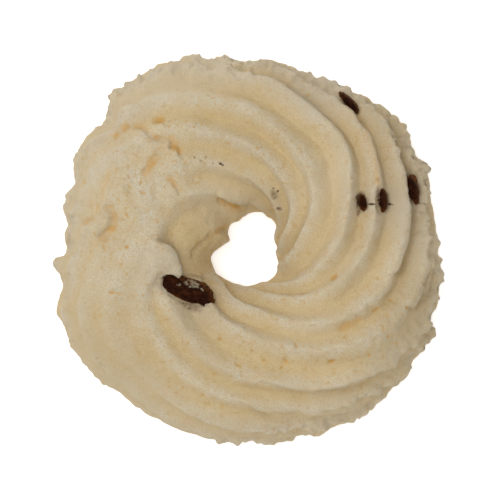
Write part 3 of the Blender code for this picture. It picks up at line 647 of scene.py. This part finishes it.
def noise(tree, size, detail=2.0, roughness=0.5):
    """Noise over Object coordinates whose lumps are about size mm across."""
    place = tree.nodes.new("ShaderNodeTexCoord")
    made = tree.nodes.new("ShaderNodeTexNoise")
    made.inputs["Scale"].default_value = 1.0 / (size * MM)
    made.inputs["Detail"].default_value = detail
    made.inputs["Roughness"].default_value = roughness
    tree.links.new(place.outputs["Object"], made.inputs["Vector"])
    return made.outputs["Fac"]


def ramp(tree, value, low, high):
    """0 below low, 1 above high, and a smooth step between."""
    made = tree.nodes.new("ShaderNodeMapRange")
    made.interpolation_type = "SMOOTHSTEP"
    made.inputs["From Min"].default_value = low
    made.inputs["From Max"].default_value = high
    tree.links.new(value, made.inputs["Value"])
    return made.outputs["Result"]


def sum_or_product(tree, operation, first, second):
    """A value added to ("ADD") or times ("MULTIPLY") a number or another value."""
    made = tree.nodes.new("ShaderNodeMath")
    made.operation = operation
    tree.links.new(first, made.inputs[0])
    if isinstance(second, float):
        made.inputs[1].default_value = second
    else:
        tree.links.new(second, made.inputs[1])
    return made.outputs["Value"]


def times(tree, first, second):
    """A value times a number or another value."""
    return sum_or_product(tree, "MULTIPLY", first, second)


def tint(tree, share, first, second):
    """Colour that goes from the first to the second with share; each is a colour or a socket."""
    made = tree.nodes.new("ShaderNodeMix")
    made.data_type = "RGBA"
    tree.links.new(share, made.inputs["Factor"])
    for socket, colour in ((made.inputs["A"], first), (made.inputs["B"], second)):
        if isinstance(colour, tuple):
            socket.default_value = (*colour, 1.0)
        else:
            tree.links.new(colour, socket)
    return made.outputs["Result"]


def field(tree, name):
    """A named attribute of the piece's vertices."""
    made = tree.nodes.new("ShaderNodeAttribute")
    made.attribute_name = name
    return made.outputs["Fac"]


def bump(tree, height, depth, under=None):
    """Bump of the given depth in mm, over another bump."""
    made = tree.nodes.new("ShaderNodeBump")
    made.inputs["Strength"].default_value = 1.0
    made.inputs["Distance"].default_value = depth * MM
    tree.links.new(height, made.inputs["Height"])
    if under is not None:
        tree.links.new(under, made.inputs["Normal"])
    return made.outputs["Normal"]


# The dough's colours, in linear red, green and blue.  The furrow colour is partly the crumb's own warmer
# tone and partly painted warm shade in the furrows and under the lap's edge.
CREST_COLOUR, FURROW_COLOUR = (0.750, 0.677, 0.524), (0.746, 0.586, 0.335)
BLOTCHES = (                     # size (mm) of the noise, where in it they start and end, how strong, colour
    (4.0, 0.35, 0.70, 0.45, (0.685, 0.522, 0.290)), (1.6, 0.45, 0.70, 0.40, (0.690, 0.502, 0.245)),
)
PALEST_CREST_AND_HIGHLIGHT = (0.35, (0.770, 0.700, 0.532))        # how strong, colour: crests paler, partly their own colour and partly painted highlight
FRECKLES = (                     # as the blotches
    (0.8, 0.60, 0.72, 0.60, (0.650, 0.395, 0.155)), (0.24, 0.35, 0.70, 0.56, (0.645, 0.445, 0.190)),
)
TONES = (                        # attribute, how strong, colour
    # golden and dusty paint warm light and cool shade as well as the bake's tone; pale and dark paint light and
    # shade too.
    ("golden_and_warm_light", 0.40, (0.690, 0.515, 0.255)), ("dusty_and_cool_shade", 0.45, (0.660, 0.575, 0.460)),
    ("pale", 0.40, (0.850, 0.720, 0.500)), ("dark", 0.40, (0.520, 0.400, 0.225)),
    # side: the outer walls darker and greyer, as painted shade.
    ("side", 0.3, (0.600, 0.510, 0.360)),
)
# Toast colours, partly painted warm shade in hollows, crevices and at the foot of ledges.
LIGHT_TOAST_AND_SHADE, DEEP_TOAST_AND_SHADE = (0.720, 0.430, 0.135), (0.600, 0.270, 0.050)
SMEAR_AND_SHADOW_COLOUR, MELTED_COLOUR = (0.270, 0.185, 0.115), (0.130, 0.062, 0.028)
SPECK_COLOUR, TRAY_BROWN = (0.035, 0.012, 0.004), (0.500, 0.345, 0.165)


def crumb_finish():
    """Baked dough: crests paler, partly as painted highlight, and furrows warmer, partly as painted warm
    shade, blotched and freckled by noise, then pits, crevices and ledge feet toasted and painted with warm
    shade, bake spots with painted light and shade on the rims, outer walls with painted shade, chocolate
    smears that break into specks where noise adds to them, a few painted shadows in the smears' colours,
    and a dry floury grain as bump."""
    made, tree, shader = shader_parts("baked_dough")
    # Furrows and the strand's start under the lap get the warmer colour, partly as painted warm shade.
    colour = tint(tree, ramp(tree, field(tree, "furrow_warmth_and_shade"), 0.05, 0.95), CREST_COLOUR, FURROW_COLOUR)
    for size, low, high, strength, tone in BLOTCHES:
        colour = tint(tree, times(tree, ramp(tree, noise(tree, size), low, high), strength), colour, tone)
    # Crests and raised ledges turn paler where noise allows, partly as painted highlight.
    paler_and_lit = times(tree, field(tree, "crest"), ramp(tree, noise(tree, 1.6, 3.0), 0.35, 0.65))
    colour = tint(tree, times(tree, paler_and_lit, PALEST_CREST_AND_HIGHLIGHT[0]), colour, PALEST_CREST_AND_HIGHLIGHT[1])
    for size, low, high, strength, tone in FRECKLES:
        colour = tint(tree, times(tree, ramp(tree, noise(tree, size), low, high), strength), colour, tone)
    for name, strength, tone in TONES:
        colour = tint(tree, times(tree, field(tree, name), strength), colour, tone)
    # Toast in pits, crevices and at ledge feet, partly painted warm shade.
    toasted = times(tree, field(tree, "toast_and_shade"), ramp(tree, noise(tree, 0.7, 3.0), 0.00, 0.50))
    colour = tint(tree, times(tree, ramp(tree, toasted, 0.02, 0.90), 0.85), colour, LIGHT_TOAST_AND_SHADE)
    colour = tint(tree, ramp(tree, toasted, 0.85, 1.50), colour, DEEP_TOAST_AND_SHADE)
    # Chocolate smears, and a few painted shadows in the smear colours.
    smeared = field(tree, "stain_and_shadow")
    speckled = sum_or_product(tree, "ADD", smeared, times(tree, noise(tree, 0.35, 3.0), 0.9))
    colour = tint(tree, times(tree, ramp(tree, smeared, 0.08, 0.62), 0.8), colour, SMEAR_AND_SHADOW_COLOUR)
    colour = tint(tree, ramp(tree, speckled, 0.85, 1.15), colour, MELTED_COLOUR)
    colour = tint(tree, ramp(tree, speckled, 1.00, 1.15), colour, SPECK_COLOUR)
    colour = tint(tree, field(tree, "under"), colour, TRAY_BROWN)
    tree.links.new(colour, shader.inputs["Base Color"])
    shader.inputs["Roughness"].default_value = 0.85
    shader.inputs["Subsurface Weight"].default_value = 0.12
    shader.inputs["Subsurface Radius"].default_value = (1.0, 0.65, 0.35)
    shader.inputs["Subsurface Scale"].default_value = 0.5 * MM
    shader.inputs["Specular IOR Level"].default_value = 0.20
    flour = tint(tree, field(tree, "under"), noise(tree, 0.18, 3.0, 0.7), (0.5, 0.5, 0.5))
    coarse = bump(tree, noise(tree, 0.6), 0.10, bump(tree, flour, 0.38))
    tree.links.new(coarse, shader.inputs["Normal"])
    return made


dough.data.materials.append(crumb_finish())


# The chocolate pieces -----------------------------------------------------------------------------
# Five chips of dark chocolate that were stirred into the dough.  They lie in its furrows, bedded in
# by the nozzle, and softened and set again in the oven, so that they are matt and a little ragged.

# Length, width, height (mm); turn, fall (degrees); taper; bend (mm); bluntness, where 1 is a ball and
# less is squarer; and how far it lies from the middle of its place (mm).
CHIPS = {
    "chocolate_large": ((8.9, 4.0, 3.4), -22, 10, 0.24, 0.60, 0.55, (-0.30, -0.25, 0.10)),
    "chocolate_top_right": ((4.3, 1.3, 2.0), -47, 4, 0.20, 0.0, 0.95, (-0.10, 0.10, 0.0)),
    "chocolate_right_inner": ((2.5, 1.15, 2.2), -82, 0, 0.10, 0.0, 0.85, (0.0, 0.0, -0.20)),
    "chocolate_right_middle": ((3.8, 1.7, 2.4), -84, 0, 0.0, 0.0, 1.0, (0.0, -0.10, 0.0)),
    "chocolate_right_outer": ((4.6, 1.9, 2.6), -72, 0, -0.40, 0.0, 0.85, (0.0, 0.0, 0.0)),
}
CHIP_GRID = (72, 45)             # points round a chip, and along it
CHIP_LUMPS = ((0.15, 0.8, 41), (0.10, 0.35, 42), (0.09, 0.15, 43))   # share of the radius, size, seed
CHIP_SIDE = (0.40, 0.85)         # heights on the ball between which its side turns into its top
FILM = (                         # dough smeared over the large chip: as the stains
    ((-8.5, -5.1), 2.4, 1.3, -25, 1.00), ((-7.2, -5.7), 2.2, 0.5, -48, 0.90),
    ((-10.4, -5.3), 1.0, 0.5, 10, 0.60),
)
FILM_EDGE, FILM_WOBBLE = (0.6, 1.2), ((0.4, 0.7, 44),)


def chip(size, turn, fall, taper, bend, blunt, middle, seed):
    """Lump of chocolate: a ball over longitude and latitude whose ends are squared off by a power of the
    latitude's sine and cosine, drawn out along X, thickened with taper, roughened along its radius, its
    thin end bent aside by the square of its X, then turned and set at its middle.  Its sides are where
    the ball's height falls below a share."""
    longitude = (2.0 * np.pi * np.arange(CHIP_GRID[0]) / CHIP_GRID[0])[:, None]
    latitude = np.linspace(0.0, np.pi, CHIP_GRID[1])[None, :]
    x = np.sign(np.cos(latitude)) * np.abs(np.cos(latitude)) ** blunt + np.zeros_like(longitude)
    girth = np.sin(latitude) ** blunt
    ball = np.stack([x, girth * np.cos(longitude), girth * np.sin(longitude)], axis=-1)
    lumps = 1.0 + layers(ball + seed, CHIP_LUMPS)
    swell = (1.0 + taper * x) * lumps
    egg = ball * np.stack([lumps, swell, swell], axis=-1) * size / 2.0
    egg[..., 1] += bend * np.minimum(x, 0.0) ** 2
    a, b = math.radians(turn), math.radians(fall)
    fallen = egg @ np.array([[math.cos(b), 0, -math.sin(b)], [0, 1, 0], [math.sin(b), 0, math.cos(b)]])
    turned = fallen @ np.array([[math.cos(a), math.sin(a), 0], [-math.sin(a), math.cos(a), 0], [0, 0, 1]])
    return turned + middle, 1.0 - ease(*CHIP_SIDE, ball[..., 2])


def ball_mesh(name, points, sides):
    """Mesh of a grid that closes round its first way and comes to a point at both ends of its second, with
    the share of its sides and of the dough smeared over it as attributes."""
    around_it, along_it = points.shape[:2]
    inner = points[:, 1:-1].reshape(-1, 3)
    vertices = np.vstack([inner, points[0, 0], points[0, -1]])
    rows = along_it - 2
    i, j = np.meshgrid(np.arange(around_it), np.arange(rows - 1), indexing="ij")
    i2 = (i + 1) % around_it
    corners = (i * rows + j, i * rows + j + 1, i2 * rows + j + 1, i2 * rows + j)
    quads = np.stack(corners, axis=-1).reshape(-1, 4)
    k = np.arange(around_it)
    k2 = (k + 1) % around_it
    first = np.stack([np.full(around_it, len(inner)), k * rows, k2 * rows], axis=-1)
    last = np.stack([np.full(around_it, len(inner) + 1), k2 * rows + rows - 1, k * rows + rows - 1], axis=-1)
    mesh = bpy.data.meshes.new(name)
    mesh.from_pydata((vertices * MM).tolist(), [], quads.tolist() + first.tolist() + last.tolist())
    return shown(name, mesh, {
        "film": patches(vertices, FILM, FILM_EDGE, layers(vertices, FILM_WOBBLE)),
        "edge": np.append(sides[:, 1:-1].ravel(), (sides[0, 0], sides[0, -1])),
    })


BLACK_BROWN, DARK_BROWN = (0.017, 0.0036, 0.0008), (0.050, 0.013, 0.003)
WORN_BROWN, FILM_COLOUR = (0.150, 0.055, 0.015), (0.300, 0.245, 0.170)


def chocolate_finish():
    """Dark chocolate that has set matt: near black brown, browner along its worn sides, streaked with
    dough where noise breaks up the film, and with a fine grain as bump."""
    made, tree, shader = shader_parts("dark_chocolate")
    colour = tint(tree, ramp(tree, noise(tree, 0.7, 3.0), 0.40, 0.75), BLACK_BROWN, DARK_BROWN)
    worn = times(tree, field(tree, "edge"), ramp(tree, noise(tree, 0.5), 0.25, 0.60))
    colour = tint(tree, times(tree, worn, 0.85), colour, WORN_BROWN)
    streaks = times(tree, field(tree, "film"), ramp(tree, noise(tree, 0.45, 3.0, 0.6), 0.30, 0.65))
    colour = tint(tree, ramp(tree, streaks, 0.20, 0.75), colour, FILM_COLOUR)
    tree.links.new(colour, shader.inputs["Base Color"])
    shader.inputs["Roughness"].default_value = 0.65
    shader.inputs["Specular IOR Level"].default_value = 0.06
    tree.links.new(bump(tree, noise(tree, 0.3, 3.0, 0.6), 0.30), shader.inputs["Normal"])
    return made


chocolate = chocolate_finish()
for seed, (name, (size, turn, fall, taper, bend, blunt, shift)) in enumerate(CHIPS.items()):
    low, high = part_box(name)
    middle = np.array((low + high) / 2) / MM + shift
    piece = ball_mesh(name + "_chip", *chip(size, turn, fall, taper, bend, blunt, middle, seed))
    piece.data.materials.append(chocolate)
    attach(piece, "root")
    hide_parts(name)


# The table and the light --------------------------------------------------------------------------
# The cookie lies on a plain white table.  A soft lamp hangs nearly overhead, a window is at the upper
# left and a weaker one below, and the camera looks straight down.

TABLE_HALF_SIDE = 1.0            # m
TABLE_COLOUR, TABLE_GLOW = (0.90, 0.90, 0.90), 0.45
LIGHTS = (                       # compass bearing, elevation (degrees), distance, side (m), power (W)
    ("lamp", 160, 80, 0.9, 0.5, 2.8), ("window", 138, 45, 0.8, 0.6, 2.25),
    ("far_window", 282, 45, 0.8, 0.6, 1.35),
)
ROOM_LIGHT = 0.45                # strength of the even light from all round

PIXEL = 60.0 / 392.0             # mm for one pixel of the photograph, at the height of the crown
HOLE_PIXEL = (247, 250)          # where the hole's middle lies in the photograph
FRAME_PIXELS = 500               # the photograph's width and height
CAMERA_HEIGHT = 600.0            # mm
CROWN_HEIGHT = 10.0              # mm, the height at which the scale holds
SENSOR = 36.0                    # mm


def table():
    """Flat square under the cookie, whose white glows a little so that it stays as pale as in the photo."""
    side = TABLE_HALF_SIDE
    mesh = bpy.data.meshes.new("table")
    corners = [(-side, -side, 0.0), (side, -side, 0.0), (side, side, 0.0), (-side, side, 0.0)]
    mesh.from_pydata(corners, [], [(0, 1, 2, 3)])
    white, _, shader = shader_parts("white_table")
    shader.inputs["Base Color"].default_value = (*TABLE_COLOUR, 1.0)
    shader.inputs["Roughness"].default_value = 0.9
    shader.inputs["Emission Color"].default_value = (1.0, 1.0, 1.0, 1.0)
    shader.inputs["Emission Strength"].default_value = TABLE_GLOW
    mesh.materials.append(white)
    made = bpy.data.objects.new("table", mesh)
    bpy.context.scene.collection.objects.link(made)
    made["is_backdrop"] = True


def soft_light(name, compass, elevation, distance, size, power):
    """A square soft box at a compass bearing and an elevation, facing the cookie."""
    lamp = bpy.data.lights.new(name, "AREA")
    lamp.size = size
    lamp.energy = power
    made = bpy.data.objects.new(name, lamp)
    a, e = math.radians(compass), math.radians(elevation)
    away = Vector((math.cos(a) * math.cos(e), math.sin(a) * math.cos(e), math.sin(e)))
    made.location = away * distance
    made.rotation_euler = away.to_track_quat("Z", "Y").to_euler()
    bpy.context.scene.collection.objects.link(made)


def camera():
    """Camera straight above the frame's middle: its lens is the sensor times the distance to the crown,
    over the width that the frame spans there."""
    lens = bpy.data.cameras.new("camera")
    lens.sensor_width = SENSOR
    lens.lens = SENSOR * (CAMERA_HEIGHT - CROWN_HEIGHT) / (FRAME_PIXELS * PIXEL)
    made = bpy.data.objects.new("camera", lens)
    made.location = (
        ((FRAME_PIXELS / 2 - HOLE_PIXEL[0]) * PIXEL + HOLE_MIDDLE[0]) * MM,
        ((HOLE_PIXEL[1] - FRAME_PIXELS / 2) * PIXEL + HOLE_MIDDLE[1]) * MM,
        CAMERA_HEIGHT * MM,
    )
    bpy.context.scene.collection.objects.link(made)
    bpy.context.scene.camera = made


table()
for row in LIGHTS:
    soft_light(*row)
camera()
room = bpy.data.worlds.new("room")
bpy.context.scene.world = room
room.use_nodes = True
room.node_tree.nodes["Background"].inputs["Color"].default_value = (1.0, 1.0, 1.0, 1.0)
room.node_tree.nodes["Background"].inputs["Strength"].default_value = ROOM_LIGHT
bpy.context.scene.view_settings.view_transform = "Standard"

low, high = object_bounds()
